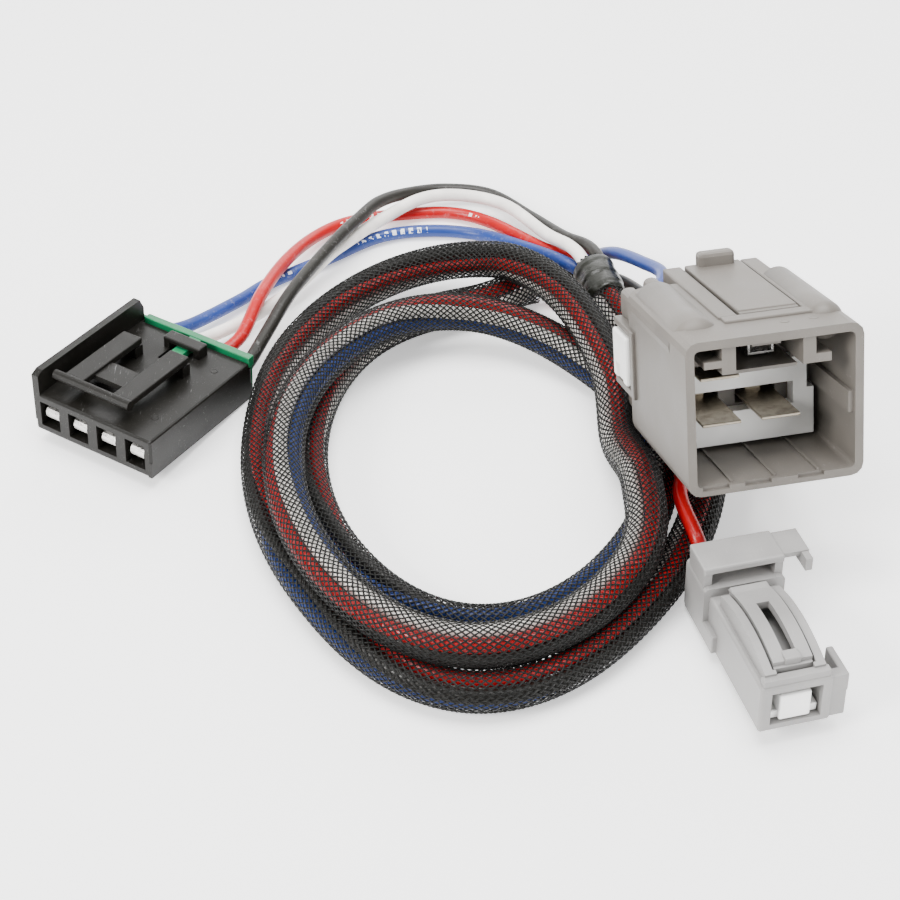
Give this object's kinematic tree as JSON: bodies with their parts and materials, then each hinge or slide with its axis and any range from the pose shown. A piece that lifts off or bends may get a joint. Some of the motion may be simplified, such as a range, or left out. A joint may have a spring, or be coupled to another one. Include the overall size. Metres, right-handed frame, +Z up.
{
  "type": "trailer brake controller wiring adapter",
  "caption": "Plug-in adapter cable: flat black controller plug, coiled braided sleeve with coloured wires, grey hooded vehicle plug and small pale switch plug.",
  "frame": {"origin": "on the surface the part lies on, below the middle of the three connectors' outline seen from above", "axes": "+Z up; +X from the black controller plug towards the grey vehicle plug; -Y is the front, where the plugs' mouths point"},
  "size_m": [0.2046, 0.2131, 0.0653],
  "materials": {
    "black_plastic": "fine satin moulding",
    "grey_plastic": "fine satin moulding",
    "pale_plastic": "fine satin moulding",
    "green_plastic": "satin moulding",
    "white_plastic": "smooth moulding",
    "tin_plate": "bright tin plate",
    "brass": "dull tinned brass",
    "tape": "smooth vinyl tape",
    "braid": "open polyester braid",
    "insulation_black": "satin PVC",
    "insulation_blue": "satin PVC",
    "insulation_red": "semi-gloss PVC",
    "insulation_white": "satin PVC"
  },
  "bodies": {
    "harness": {"controller_plug_housing": "black_plastic", "controller_terminal_1": "tin_plate", "controller_terminal_2": "tin_plate", "controller_terminal_3": "tin_plate", "controller_terminal_4": "tin_plate", "vehicle_plug_housing": "grey_plastic", "vehicle_plug_insert": "white_plastic", "vehicle_blade_1": "brass", "vehicle_blade_2": "brass", "vehicle_blade_3": "brass", "vehicle_small_terminal": "tin_plate", "switch_plug_housing": "pale_plastic", "switch_terminal": "tin_plate", "sleeve_coil": "braid", "sleeve_start": "braid", "collar_controller": "tape", "controller_wire_blue": "insulation_blue", "controller_wire_white": "insulation_white", "controller_wire_red": "insulation_red", "controller_wire_black": "insulation_black", "vehicle_wire_blue": "insulation_blue", "vehicle_wire_black": "insulation_black", "vehicle_wire_white": "insulation_white", "switch_wire_red": "insulation_red"},
    "controller_latch": {"controller_plug_latch": "black_plastic"},
    "controller_lock": {"controller_plug_lock": "green_plastic"},
    "vehicle_latch": {"vehicle_plug_latch": "grey_plastic"},
    "vehicle_side_lock": {"vehicle_plug_side_lock": "white_plastic"},
    "switch_latch": {"switch_plug_latch": "pale_plastic"},
    "switch_lock": {"switch_plug_lock": "white_plastic"}
  },
  "joints": [
    {"name": "controller_latch_hinge", "type": "hinge", "parent": "harness", "child": "controller_latch", "pos_m": [-0.06972, 0.04732, 0.01691], "axis": [0.8545, -0.5195, 0], "range_deg": [0, 6], "stiffness_Nm_per_rad": 0.05},
    {"name": "controller_lock_slide", "type": "slide", "parent": "harness", "child": "controller_lock", "axis": [0.5175, 0.8512, -0.0872], "range_m": [0, 0.0015]},
    {"name": "vehicle_latch_hinge", "type": "hinge", "parent": "harness", "child": "vehicle_latch", "pos_m": [0.07989, 0.00937, 0.05927], "axis": [0.9789, 0.2045, 0], "range_deg": [-2.5, 0], "stiffness_Nm_per_rad": 0.1},
    {"name": "vehicle_side_lock_slide", "type": "slide", "parent": "harness", "child": "vehicle_side_lock", "axis": [-0.9789, -0.2045, 0], "range_m": [0, 0.003]},
    {"name": "switch_latch_hinge", "type": "hinge", "parent": "harness", "child": "switch_latch", "pos_m": [0.08039, -0.0628, 0.01863], "axis": [0.9694, 0.2453, 0], "range_deg": [-4, 0], "stiffness_Nm_per_rad": 0.05},
    {"name": "switch_lock_slide", "type": "slide", "parent": "harness", "child": "switch_lock", "axis": [0.244, -0.9641, 0.1045], "range_m": [0, 0.003]}
  ]
}
